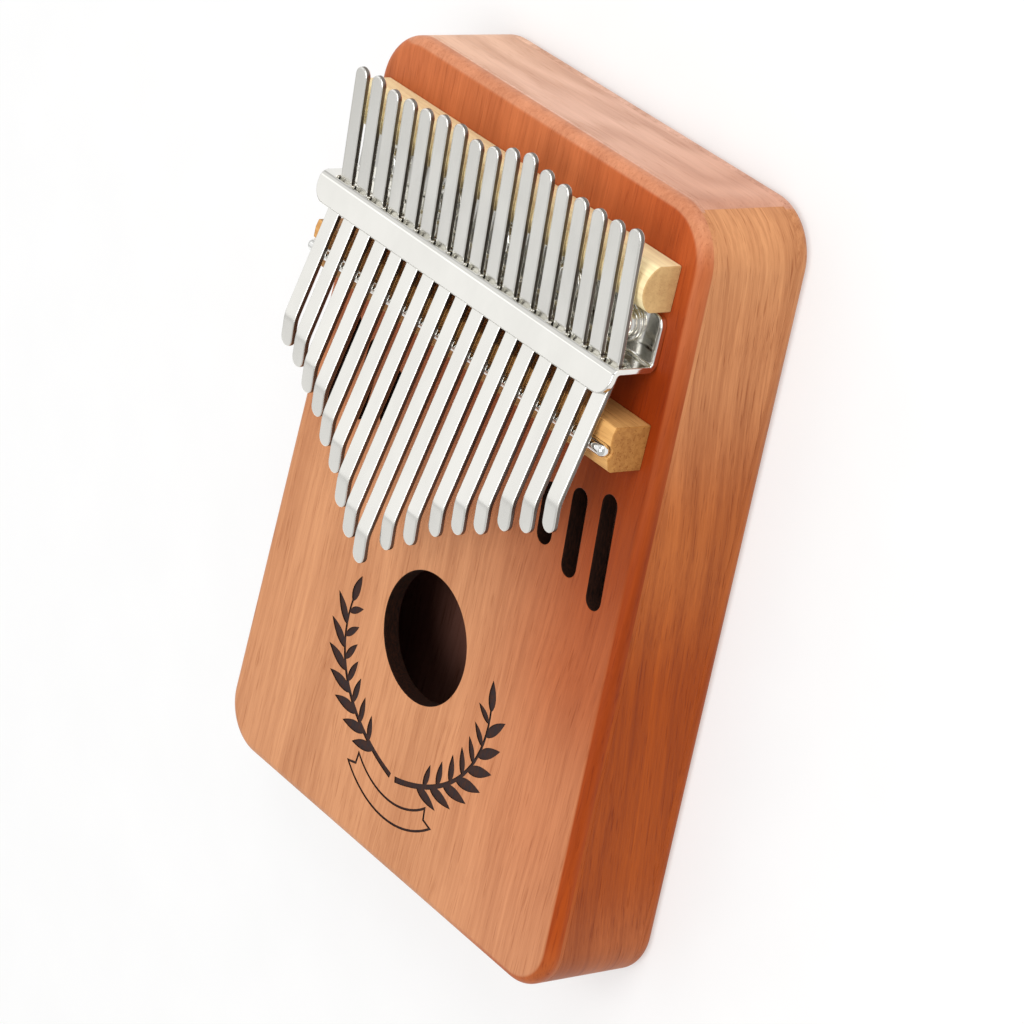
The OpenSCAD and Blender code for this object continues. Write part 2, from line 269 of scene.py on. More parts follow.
def board_tone_painted_light(s, x, y, z):
    """Light and shade painted into the wood: a pale salmon sheen on the left and at the tongue end,
    deep red-brown painted shade on the right, an orange round-over, paler where the light falls at
    the tail edge.
    """
    # Painted light on the left: a pale salmon sheen, with darker painted shade under the tines near the
    # bridges.
    left = s.ramp(y, [(-92, srgb(201, 140, 98)), (-20, srgb(204, 142, 99)),
                      (50, srgb(176, 90, 46)), (92, srgb(190, 106, 62))])
    # Painted shade on the right: deep red-brown, darkest under the tines between the lower bridge and the
    # bracket.
    right = s.ramp(y, [(-92, srgb(198, 134, 94)), (-50, srgb(190, 120, 80)), (-15, srgb(168, 88, 48)),
                       (15, srgb(146, 62, 20)), (50, srgb(138, 48, 8)), (92, srgb(180, 84, 38))])
    face = s.mix(s.spread(x, 2, 53), left, right)
    rounded = s.spread(z, FRONT_Z - 0.01, FRONT_Z - 0.22)
    # The round-over with painted light along it: deep orange in the middle, paler towards both ends, most
    # at the tail.
    edge = s.ramp(y, [(-92, srgb(180, 96, 48)), (-74, srgb(160, 66, 14)), (0, srgb(148, 58, 10)),
                      (45, srgb(154, 68, 24)), (80, srgb(182, 100, 58)), (92, srgb(206, 140, 102))])
    face = s.mix(s.math("MULTIPLY", s.spread(x, 20, 55), rounded), face, edge)
    # Painted light: a paler band on the round-over at the tail edge.
    at_tail = s.math("MULTIPLY", s.spread(y, HALF_LEN - 3.2, HALF_LEN - 2.2), rounded)
    face = s.mix(at_tail, face, srgb(202, 134, 98))
    # Below the round-over the edge takes the rails' tone, with its painted light.
    below = s.spread(z, FRONT_Z - 3.0, FRONT_Z - 3.3)
    return s.mix(below, face, rim_tone(s, x, y, z))


def side_tone_painted_light(s, x, y, z):
    """The side rails with light painted along them: red-brown shade in the middle, paler towards the
    tail end where a painted sheen falls.
    """
    return s.ramp(y, [(-92, srgb(172, 98, 58)), (-60, srgb(162, 73, 16)), (-20, srgb(159, 69, 8)),
                      (20, srgb(176, 96, 44)), (60, srgb(196, 130, 84)), (90, srgb(200, 138, 92))])


def rim_tone(s, x, y, z):
    """The tone of the rails and their painted light, for the panels' edges next to them."""
    at_tail = s.math("MULTIPLY", s.spread(y, HALF_LEN - 1.6, HALF_LEN - 1.2),
                     s.spread(s.math("ABSOLUTE", x), 52, 51))
    return s.mix(at_tail, side_tone_painted_light(s, x, y, z), tail_tone_and_sheen(s, x, y, z))


def tail_tone_and_sheen(s, x, y, z):
    """The pale pink tail rail: pink wood, paled by a painted sheen."""
    return s.ramp(x, [(-58, srgb(222, 176, 146)), (0, srgb(216, 170, 146)), (55, srgb(206, 152, 126))])


def back_tone(s, x, y, z):
    """The back panel, with the rails' tone round its edge."""
    back = s.ramp(y, [(-92, srgb(186, 110, 64)), (92, srgb(196, 122, 76))])
    return s.mix(s.spread(z, 0.4, 1.6), back, rim_tone(s, x, y, z))


def bar_tone(node, long_grain, end_grain):
    """A bar along X whose two ends are darker, as end grain is."""
    lo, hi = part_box(node)
    mid, half = (lo[0] + hi[0]) / 2 / MM, (hi[0] - lo[0]) / 2 / MM

    def tone(s, x, y, z):
        away = s.math("ABSOLUTE", s.math("SUBTRACT", x, mid))
        return s.mix(s.spread(away, half - 0.35, half - 0.15), long_grain, end_grain)
    return tone


def metal(name, colour, rough, brush=(1.0, 0.03, 1.0), smear=0.05):
    """Polished metal with faint drawing lines and a little uneven polish."""
    s = Shade(name, Metallic=1.0)
    mm = s.vector("MULTIPLY", s.position, (1 / MM, 1 / MM, 1 / MM))
    lines = s.noise(s.vector("MULTIPLY", mm, tuple(6.0 * b for b in brush)), 2.0, 0.6)
    cloud = s.noise(s.vector("MULTIPLY", mm, (0.09, 0.05, 0.09)), 3.0, 0.6)
    s.set("Roughness", s.math("ADD", s.spread(cloud, 0.3, 0.7, rough - smear / 2, rough + smear),
                              s.math("MULTIPLY", lines, smear)))
    tint = s.mix(s.spread(cloud, 0.3, 0.7), colour, tuple(0.95 * c for c in colour[:3]) + (1.0,))
    s.set("Base Color", tint)
    s.set("Normal", s.bump(lines, 0.06, 0.00002))
    return s.mat


def burnt(name, colour, rim):
    """Laser-charred wood: sooty, with a little brown left in it."""
    s = Shade(name, Specular_IOR_Level=0.15)
    mm = s.vector("MULTIPLY", s.position, (1 / MM, 1 / MM, 1 / MM))
    soot = s.noise(s.vector("MULTIPLY", mm, (2.4, 0.5, 2.4)), 4.0, 0.65)
    s.set("Base Color", s.mix(s.spread(soot, 0.3, 0.75), colour, rim))
    s.set("Roughness", s.spread(soot, 0.2, 0.8, 0.7, 0.95))
    s.set("Normal", s.bump(soot, 0.5, 0.0001))
    return s.mat


# Painted light and shade are in the soundboard's tone.
BOARD = wood("soundboard_wood_painted_light", board_tone_painted_light, streak=0.55, pores=0.45, bands=0.45)
# Painted light and shade are in the side rails' tone.
SIDE = wood("rail_wood_painted_light", side_tone_painted_light, tilt=-7.0, offset=(11, 40, 7), streak=0.8, pores=0.6, bands=0.6,
            across=0.05)
# A painted sheen is in the tail rail's tone.
TAIL_END = wood("end_rail_wood_and_sheen", tail_tone_and_sheen, along="X", offset=(5, 9, 3), streak=0.35, pores=0.25,
                bands=0.3, figure=0.22)
TONGUE_END = wood("tongue_rail_finish", side_tone_painted_light, along="X", offset=(15, 29, 3), streak=0.7, pores=0.5,
                  bands=0.6)
BACK = wood("back_finish", back_tone, offset=(70, 20, 0), streak=0.7, pores=0.5, bands=0.7)
INSIDE = wood("inside_finish", plain(srgb(118, 78, 66)), offset=(20, 60, 0), gloss=0.7, shine=0.1)
LOWER = wood("lower_bridge_finish", bar_tone("lower_bridge", srgb(218, 166, 100), srgb(180, 126, 66)),
             along="X", offset=(3, 7, 1), streak=0.7, pores=0.8, bands=0.6, gloss=0.5)
UPPER = wood("upper_bridge_finish", bar_tone("upper_bridge", srgb(255, 238, 188), srgb(208, 172, 118)),
             along="X", offset=(31, 2, 5), streak=0.4, pores=0.35, bands=0.35, gloss=0.5)
CHAR = burnt("char", srgb(46, 38, 40), srgb(70, 44, 34))
SCORCH = burnt("scorch", srgb(24, 14, 10), srgb(58, 30, 18))
TINE_STEEL = metal("tine_steel_finish", (0.84, 0.83, 0.79, 1.0), 0.16)
# Painted shade: the flat middle of each tine's side edges is near-black metal, standing for the dark
# outline along the tines.
TINE_EDGE_SHADE = metal("tine_edge_painted_shade", (0.20, 0.18, 0.16, 1.0), 0.38)
NICKEL = metal("bracket_nickel_finish", (0.84, 0.83, 0.79, 1.0), 0.07, (0.03, 1.0, 1.0), 0.03)
SCREW_NICKEL = metal("screw_nickel_finish", (0.80, 0.79, 0.75, 1.0), 0.12, (1.0, 1.0, 1.0), 0.04)
ROD_STEEL = metal("rod_steel_finish", (0.82, 0.82, 0.80, 1.0), 0.08, (0.03, 1.0, 1.0), 0.03)


# ---- mesh helpers ----
def piece(name, verts, faces, mats, body, nodes, mat_of=None, sharp=35.0, weighted=True):
    """An object from points in millimetres, riding on body and standing for the CAD nodes.

    mat_of has the number of each face's material; sharp is the angle in degrees past which an
    edge stays sharp. With no body, the object is left unattached."""
    mesh = bpy.data.meshes.new(name)
    mesh.from_pydata([Vector(v) * MM for v in verts], [], faces)
    for m in mats:
        mesh.materials.append(m)
    if mat_of is not None:
        mesh.polygons.foreach_set("material_index", mat_of)
    bm = bmesh.new()
    bm.from_mesh(mesh)
    bmesh.ops.remove_doubles(bm, verts=bm.verts, dist=1e-7)
    bmesh.ops.recalc_face_normals(bm, faces=bm.faces)
    bm.to_mesh(mesh)
    bm.free()
    mesh.polygons.foreach_set("use_smooth", [True] * len(mesh.polygons))
    mesh.set_sharp_from_angle(angle=math.radians(sharp))
    obj = bpy.data.objects.new(name, mesh)
    bpy.context.scene.collection.objects.link(obj)
    if weighted:
        w = obj.modifiers.new("weighted", "WEIGHTED_NORMAL")
        w.keep_sharp = True
    if body is not None:
        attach(obj, body)
    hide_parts(*nodes)
    return obj


def arc(cx, cy, r, a0, a1, n):
    return [(cx + r * math.cos(math.radians(a0 + (a1 - a0) * k / n)),
             cy + r * math.sin(math.radians(a0 + (a1 - a0) * k / n))) for k in range(n + 1)]


def half_w(y):
    """Half the body's width at y."""
    return TAIL_W / 2 + (HALF_LEN - y) * TAPER


def corner(end, r):
    """The centre of a corner's arc on the right, at the tail end (1) or the tongue end (-1)."""
    y = end * (HALF_LEN - r)
    return half_w(y) - r / math.cos(math.radians(TAPER_DEG)), y


CORNER_STEPS = 18


def outline(inset=0.0):
    """The body's outline, counter-clockwise from the right side at the tail end, moved inwards."""
    tx, ty = corner(1, TAIL_CORNER)
    bx, by = corner(-1, TONGUE_CORNER)
    t, b, g, n = TAIL_CORNER - inset, TONGUE_CORNER - inset, TAPER_DEG, CORNER_STEPS
    return (arc(tx, ty, t, g, 90, n) + arc(-tx, ty, t, 90, 180 - g, n)
            + arc(-bx, by, b, 180 - g, 270, n) + arc(bx, by, b, -90, g, n))


def circle(x, y, r, n=72):
    return arc(x, y, r, 0, 360, n)[:-1]


def slot_loop(x, y, straight, r, lean):
    """A slot with round ends, leaning from the Y axis."""
    pts = arc(0, straight / 2, r, 0, 180, 14) + arc(0, -straight / 2, r, 180, 360, 14)
    c, s = math.cos(math.radians(lean)), math.sin(math.radians(lean))
    return [(x + px * c - py * s, y + px * s + py * c) for px, py in pts]


def inside(p, loop):
    """Whether a point lies in a loop."""
    x, y = p
    hit = False
    for (x0, y0), (x1, y1) in zip(loop, loop[1:] + loop[:1]):
        if (y0 > y) != (y1 > y) and x < (x1 - x0) * (y - y0) / (y1 - y0) + x0:
            hit = not hit
    return hit


class Builder:
    """Collects points and faces; each face carries the number of its material."""

    def __init__(self):
        self.verts, self.faces, self.mats = [], [], []

    def ring(self, loop, z):
        start = len(self.verts)
        self.verts += [(x, y, z) for x, y in loop]
        return list(range(start, len(self.verts)))

    def band(self, a, b, mat=0):
        """Quads between two closed rings."""
        n = len(a)
        for k in range(n):
            self.add((a[k], a[(k + 1) % n], b[(k + 1) % n], b[k]), mat)

    def stack(self, rings, mat=0):
        for a, b in zip(rings, rings[1:]):
            self.band(a, b, mat)

    def add(self, face, mat=0):
        self.faces.append(face)
        self.mats.append(mat)

    def fill(self, outer, holes, z, mat=0, marks=(), frames=(), depth=0.0, floor=0, wall=0):
        """A flat face between an outer loop and holes, with marks sunk into it by depth.

        frames are pairs of loops; the strip between the two is sunk as well. mat, floor and wall
        are the materials of the face, of the sunk floors and of their walls."""
        loops = [outer] + list(holes) + list(marks) + [l for pair in frames for l in pair]
        pts, edges = [], []
        for loop in loops:
            n = len(pts)
            pts += [Vector(p) for p in loop]
            edges += [(n + k, n + (k + 1) % len(loop)) for k in range(len(loop))]
        out = delaunay_2d_cdt(pts, edges, [], 0, 1e-5)
        co, tris = out[0], out[2]
        boxes = [(min(p[0] for p in m), max(p[0] for p in m), min(p[1] for p in m), max(p[1] for p in m))
                 for m in marks]
        top, low, owner = {}, {}, {}

        def vert(table, k, height):
            if k not in table:
                table[k] = len(self.verts)
                self.verts.append((co[k][0], co[k][1], height))
            return table[k]

        for tri in tris:
            c = (sum(co[k][0] for k in tri) / 3, sum(co[k][1] for k in tri) / 3)
            if not inside(c, outer) or any(inside(c, h) for h in holes):
                continue
            sunk = any(b[0] < c[0] < b[1] and b[2] < c[1] < b[3] and inside(c, m)
                       for b, m in zip(boxes, marks))
            sunk = sunk or any(inside(c, a) != inside(c, b) for a, b in frames)
            if sunk:
                self.add(tuple(vert(low, k, z - depth) for k in tri), floor)
            else:
                self.add(tuple(vert(top, k, z) for k in tri), mat)
            for a, b in zip(tri, tri[1:] + tri[:1]):
                owner.setdefault((min(a, b), max(a, b)), []).append(sunk)
        for (a, b), sides in owner.items():
            if len(sides) == 2 and sides[0] != sides[1]:
                self.add((vert(top, a, z), vert(top, b, z), vert(low, b, z - depth),
                          vert(low, a, z - depth)), wall)


# ---- ornament: two laurel sprigs round the sound hole above a blank ribbon ----
CHAR_DEPTH = 0.3
RIBBON_LINE = 0.6


def bezier(p, t):
    """A point on a cubic curve."""
    u = 1 - t
    w = (u * u * u, 3 * u * u * t, 3 * u * t * t, t * t * t)
    return Vector((sum(k * q[0] for k, q in zip(w, p)), sum(k * q[1] for k, q in zip(w, p))))


def leaf(base, direction, length, width, curl, n=9):
    """A pointed leaf that bends a little to one side."""
    d = Vector(direction).normalized()
    side = Vector((-d.y, d.x))
    left, right = [], []
    for k in range(n + 1):
        t = k / n
        mid = base + d * length * t + side * curl * length * t * t
        half = width / 2 * math.sin(math.pi * t ** 0.8) ** 0.9 if 0 < k < n else 0.0
        left.append(mid + side * half)
        right.append(mid - side * half)
    return [tuple(p) for p in left + right[-2:0:-1]]


def sprig(sign):
    """The loops of a laurel sprig on the right (1) or the left (-1): a stem, leaves and a last leaf."""
    path = [(0.9 * sign, -70.2), (13 * sign, -67.5), (31 * sign, -58), (27.5 * sign, -37.5)]
    at = lambda t: bezier(path, t)
    ahead = lambda t: (at(min(t + 0.01, 1.0)) - at(max(t - 0.01, 0.0))).normalized()
    loops = []
    n = 26
    left, right = [], []
    for k in range(n + 1):
        t = k / n
        d = ahead(t)
        half = 0.75 - 0.45 * t
        left.append(tuple(at(t) + Vector((-d.y, d.x)) * half))
        right.append(tuple(at(t) - Vector((-d.y, d.x)) * half))
    loops.append(left + right[::-1])
    for k in range(7):
        for side in (1, -1):
            outer = side * sign < 0
            here = (0.20 if outer else 0.26) + 0.112 * k
            d = ahead(here)
            turn = math.radians((30 if outer else 50) * side)
            way = (d.x * math.cos(turn) - d.y * math.sin(turn),
                   d.x * math.sin(turn) + d.y * math.cos(turn))
            size = (9.4 if outer else 7.0) - 3.0 * abs(here - 0.5)
            loops.append(leaf(at(here), way, size, 0.31 * size, 0.10 * side))
    loops.append(leaf(at(0.98), ahead(1.0), 7.5, 2.7, 0.05 * sign))
    return loops


def ribbon():
    """A blank ribbon with notched ends, counter-clockwise, round a centre below the sound hole."""
    inner, outer, reach, notch = 20.4, 25.8, 42.0, 4.5
    centre_y, mid = -55.2, (inner + outer) / 2
    first, last = -90 - reach, -90 + reach
    return (arc(0, centre_y, outer, first, last, 24) + arc(0, centre_y, mid, last - notch, last, 1)[:1]
            + arc(0, centre_y, inner, last, first, 24) + arc(0, centre_y, mid, first + notch, first, 1)[:1])


def shrink(loop, d):
    """A counter-clockwise loop with every side moved inwards by d."""
    out = []
    for before, here, after in zip(loop[-1:] + loop[:-1], loop, loop[1:] + loop[:1]):
        a = (Vector(here) - Vector(before)).normalized()
        b = (Vector(after) - Vector(here)).normalized()
        n = Vector((-a.y - b.y, a.x + b.x)) / (1 + max(a.dot(b), -0.6))
        out.append(tuple(Vector(here) + n * d))
    return out


# ---- body ----
def edge_rings(b, z_out, z_in, mat=0):
    """The rounded outer edge of a panel, from its joint with the rails to its flat face."""
    sign = 1 if z_out > z_in else -1
    rings = [b.ring(outline(0.10), z_in), b.ring(outline(0.03), z_in + sign * 0.03),
             b.ring(outline(0.0), z_in + sign * 0.10)]
    for k in range(11):
        a = math.radians(9 * k)
        z = z_out - sign * EDGE_R * (1 - math.sin(a))
        rings.append(b.ring(outline(EDGE_R * (1 - math.cos(a))), z))
    b.stack(rings, mat)


def hole_rings(b, loop_at, z_out, z_in, ease=0.3):
    """A hole's wall with an eased edge. loop_at(e) is its loop, e larger all round.

    The edge has material 0 and the wall below it material 1."""
    sign = 1 if z_out > z_in else -1
    rings = []
    for k in range(5):
        a = math.radians(22.5 * k)
        rings.append(b.ring(loop_at(ease * (1 - math.sin(a))), z_out - sign * ease * (1 - math.cos(a))))
    rings.append(b.ring(loop_at(0.0), z_in))
    b.stack(rings[:3], 0)
    b.stack(rings[2:], 1)
    return loop_at(ease)


def soundboard():
    """The panel with its sound hole, six slots and charred ornament."""
    b = Builder()
    edge_rings(b, FRONT_Z, BOARD_Z)
    makers = [lambda e: circle(0, HOLE_Y, HOLE_R + e)]
    for x, y, straight in SLOTS:
        for m in (1, -1):
            makers.append(lambda e, x=x, y=y, st=straight, m=m:
                          slot_loop(m * x, y, st, SLOT_W / 2 + e, m * SLOT_LEAN))
    tops = [hole_rings(b, f, FRONT_Z, BOARD_Z) for f in makers]
    b.fill(outline(EDGE_R), tops, FRONT_Z, 0, sprig(1) + sprig(-1),
           [(ribbon(), shrink(ribbon(), RIBBON_LINE))], CHAR_DEPTH, 2, 3)
    b.fill(outline(0.10), [f(0.0) for f in makers], BOARD_Z, 4)
    piece("soundboard_panel", b.verts, b.faces, [BOARD, SCORCH, CHAR, SCORCH, INSIDE], "root",
          ["soundboard"], b.mats)


def back_panel():
    """The back panel with its two vents."""
    b = Builder()
    edge_rings(b, 0.0, PLATE)
    makers = [lambda e, v=v: circle(v[0], v[1], v[2] + e, 48) for v in VENTS]
    tops = [hole_rings(b, f, 0.0, PLATE) for f in makers]
    b.fill(outline(EDGE_R), tops, 0.0, 0)
    b.fill(outline(0.10), [f(0.0) for f in makers], PLATE, 2)
    piece("back_panel_piece", b.verts, b.faces, [BACK, SCORCH, INSIDE], "root", ["back_panel"],
          b.mats)


def inner_w(y):
    """Distance of a side rail's inner face from the middle, at y."""
    return half_w(y) - SIDE_RAIL / math.cos(math.radians(TAPER_DEG))


def prism(name, loop, z0, z1, mats, node, ease=0.05, dark=None):
    """An upright prism with eased edges. dark(x, y) tells the walls that face the inside."""
    b = Builder()
    n = len(loop)
    low, high = b.ring(loop, z0), b.ring(loop, z1)
    for k in range(n):
        mid = ((loop[k][0] + loop[(k + 1) % n][0]) / 2, (loop[k][1] + loop[(k + 1) % n][1]) / 2)
        b.add((low[k], low[(k + 1) % n], high[(k + 1) % n], high[k]), 1 if dark and dark(*mid) else 0)
    b.add(tuple(low), 0)
    b.add(tuple(high), 0)
    obj = piece(name, b.verts, b.faces, mats, "root", [node], b.mats, weighted=False)
    bevel(obj, ease)
    return obj


def bevel(obj, width, segments=3, angle=35.0):
    """Eases the sharp edges of an object, by a width in millimetres."""
    m = obj.modifiers.new("ease", "BEVEL")
    m.width = width * MM
    m.segments = segments
    m.limit_method = "ANGLE"
    m.angle_limit = math.radians(angle)
    m.harden_normals = True
    m.use_clamp_overlap = True


def rails():
    """Four rails between the panels; the side rails run through, the end rails fit between them."""
    pts = outline()
    for sign, side in ((1, "right"), (-1, "left")):
        order = sorted((p for p in pts if p[0] * sign > inner_w(p[1])), key=lambda p: p[1])
        top_y, low_y = cut_y(1), cut_y(-1)
        loop = [(sign * inner_w(low_y), low_y)] + order + [(sign * inner_w(top_y), top_y)]
        prism(f"side_rail_{side}_piece", loop, PLATE, BOARD_Z, [SIDE, INSIDE], f"side_rail_{side}",
              dark=lambda x, y: abs(x) < inner_w(y) + 0.01 and abs(y) < HALF_LEN - 0.5)
    for sign, end, finish in ((1, "tail", TAIL_END), (-1, "tongue", TONGUE_END)):
        y0, y1 = sign * (HALF_LEN - END_RAIL), cut_y(sign)
        across = sorted((p for p in pts if abs(p[0]) < inner_w(p[1]) and p[1] * sign > 0),
                        key=lambda p: p[0])
        loop = [(-inner_w(y0), y0), (-inner_w(y1), y1)] + across + [(inner_w(y1), y1), (inner_w(y0), y0)]
        prism(f"{end}_rail_piece", loop, PLATE, BOARD_Z, [finish, INSIDE], f"{end}_rail",
              dark=lambda x, y, s=sign: y * s < HALF_LEN - END_RAIL + 0.5)


def cut_y(end):
    """Where the inner face of a side rail meets the outline at one end."""
    r = TAIL_CORNER if end > 0 else TONGUE_CORNER
    cx, cy = corner(end, r)
    y = end * HALF_LEN
    for _ in range(20):
        dx = inner_w(y) - cx
        y = cy + end * math.sqrt(max(r * r - dx * dx, 0.0)) if dx > 0 else end * HALF_LEN
    return y


# ---- bridges, rod ----
def bar(name, profile, node, mat, ease):
    """A profile in YZ drawn along X between the ends of the CAD node."""
    lo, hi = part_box(node)
    x0, x1 = lo[0] / MM, hi[0] / MM
    n = len(profile)
    verts = [(x0, y, z) for y, z in profile] + [(x1, y, z) for y, z in profile]
    faces = [tuple(range(n)), tuple(range(n, 2 * n))]
    faces += [(k, (k + 1) % n, n + (k + 1) % n, n + k) for k in range(n)]
    obj = piece(name, verts, faces, [mat], "root", [node], weighted=False, sharp=30)
    bevel(obj, ease, 4, 28)
    return obj


ROD_Y, ROD_Z, ROD_R = 38.9, FRONT_Z + 10.3, 1.5


def bridges():
    """The square lower bridge with its groove for the rod, and the domed upper bridge."""
    lo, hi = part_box("lower_bridge")
    y0, y1, top = lo[1] / MM, hi[1] / MM, hi[2] / MM
    reach = ROD_R + 0.02
    start = math.degrees(math.asin((top - ROD_Z) / reach))
    front = (y0 + 0.6, top - 0.9)
    groove = arc(ROD_Y, ROD_Z, reach, start, -180 - start, 20)
    groove = [p for p in groove if p[0] > front[0] + 0.9 or p[1] < front[1]]
    profile = ([(y0, FRONT_Z), (y1, FRONT_Z), (y1, top - 0.5), (y1 - 1.8, top)] + groove
               + [front, (y0, top - 1.6)])
    bar("lower_bridge_piece", profile, "lower_bridge", LOWER, 0.22)
    lo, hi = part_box("upper_bridge")
    y0, y1, top = lo[1] / MM, hi[1] / MM, hi[2] / MM
    r, cy = 6.0, 74.7
    dome = [(y, z) for y, z in arc(cy, top - r, r, 28, 152, 30)]
    dome = [(min(max(y, y0), y1), z) for y, z in dome]
    bar("upper_bridge_piece", [(y0, FRONT_Z), (y1, FRONT_Z)] + dome, "upper_bridge", UPPER,
        0.3)


def lathe(profile, centre, axis, n=48):
    """Rings of (along, radius) turned round an axis through centre, closed at both ends."""
    verts, faces = [], []
    cx, cy, cz = centre
    for along, r in profile:
        for k in range(n):
            a = 2 * math.pi * k / n
            u, v = r * math.cos(a), r * math.sin(a)
            verts.append((cx + along, cy + u, cz + v) if axis == "X" else (cx + u, cy + v, cz + along))
    for j in range(len(profile) - 1):
        for k in range(n):
            faces.append((j * n + k, j * n + (k + 1) % n, (j + 1) * n + (k + 1) % n, (j + 1) * n + k))
    faces.append(tuple(range(n)))
    last = (len(profile) - 1) * n
    faces.append(tuple(range(last, last + n)))
    return verts, faces


def rod():
    """The saddle rod, with domed ends."""
    lo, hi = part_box("saddle_rod")
    x0, x1 = lo[0] / MM, hi[0] / MM
    cap = [(1 - math.cos(math.radians(a)), math.sin(math.radians(a))) for a in (14, 30, 45, 60, 75, 90)]
    ends = [(x0 + ROD_R * s, ROD_R * r) for s, r in cap]
    profile = ends + [(x1 - ROD_R * s, ROD_R * r) for s, r in cap[::-1]]
    verts, faces = lathe(profile, (0, ROD_Y, ROD_Z), "X")
    piece("saddle_rod_piece", verts, faces, [ROD_STEEL], "root", ["saddle_rod"])


# ---- sheet metal ----
def thicken(points, normals, faces, t, b, steps=3):
    """Gives a middle surface its thickness t, with the edges rounded by b.

    Faces run counter-clockwise seen from the side that the normals point to. Returns points, faces
    and materials, where 1 marks the flat middle of the edge."""
    after, used = {}, set()
    for f in faces:
        for a, c in zip(f, f[1:] + f[:1]):
            used.add((a, c))
    for a, c in used:
        if (c, a) not in used:
            after[a] = c
    before = {c: a for a, c in after.items()}
    out = {}
    for v in after:
        n = normals[v]
        o1 = (points[v] - points[before[v]]).cross(n).normalized()
        o2 = (points[after[v]] - points[v]).cross(n).normalized()
        out[v] = (o1 + o2) / (1 + max(o1.dot(o2), -0.3))
    verts, new_faces = [], []
    upper, lower = {}, {}
    for k, p in enumerate(points):
        q = p - out[k] * b if k in out else p
        upper[k] = len(verts)
        verts.append(q + normals[k] * t / 2)
        lower[k] = len(verts)
        verts.append(q - normals[k] * t / 2)
    for f in faces:
        new_faces.append(tuple(upper[k] for k in f))
        new_faces.append(tuple(lower[k] for k in reversed(f)))
    rims = {}
    for v in after:
        chain = [upper[v]]
        for sign, angles in ((1, range(1, steps + 1)), (-1, range(steps, 0, -1))):
            for k in angles:
                a = math.radians(90 * k / steps)
                rise = t / 2 - b + b * math.cos(a)
                p = points[v] - out[v] * b * (1 - math.sin(a)) + normals[v] * sign * rise
                chain.append(len(verts))
                verts.append(p)
        chain.append(lower[v])
        rims[v] = chain
    mats = [0] * len(new_faces)
    for a, c in after.items():
        for k in range(len(rims[a]) - 1):
            new_faces.append((rims[a][k], rims[a][k + 1], rims[c][k + 1], rims[c][k]))
            mats.append(1 if k == steps else 0)
    return verts, new_faces, mats


class Path:
    """A line in the YZ plane made of points; s holds each point's distance from the start."""

    def __init__(self, pts):
        self.pts = [Vector(p) for p in pts]
        self.s = [0.0]
        for a, b in zip(self.pts, self.pts[1:]):
            self.s.append(self.s[-1] + (b - a).length)

    def direction(self, k):
        a = self.pts[max(k - 1, 0)]
        b = self.pts[min(k + 1, len(self.pts) - 1)]
        return (b - a).normalized()

    def at(self, s):
        """The place and the direction at a distance s from the start."""
        for k in range(len(self.pts) - 1):
            if s <= self.s[k + 1] + 1e-9 or k == len(self.pts) - 2:
                t = (s - self.s[k]) / (self.s[k + 1] - self.s[k])
                p = self.pts[k].lerp(self.pts[k + 1], t)
                if abs(t) < 1e-6:
                    d = self.direction(k)
                elif abs(t - 1) < 1e-6:
                    d = self.direction(k + 1)
                else:
                    d = (self.pts[k + 1] - self.pts[k]).normalized()
                return p, d


# Sheet thickness and inner radius of the folds; the rest are places and sizes of the bracket.
SHEET, FOLD = 1.5, 0.8
WEB_Y, FLANGE_Y, WEB_TOP = 55.5, 68.2, FRONT_Z + 9.5
LIP_LEN, LIP_RISE = 5.0, 12.0
LIP_CORNER, FLANGE_CORNER = 4.2, 2.4
TINE_W, TINE_T = 4.2, 1.3
# The tines' meshes stay this far inside the CAD strip, above and below.
SKIN = 0.003


def tine_x(i):
    lo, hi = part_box(f"tine_{i:02d}_shank")
    return (lo[0] + hi[0]) / 2 / MM


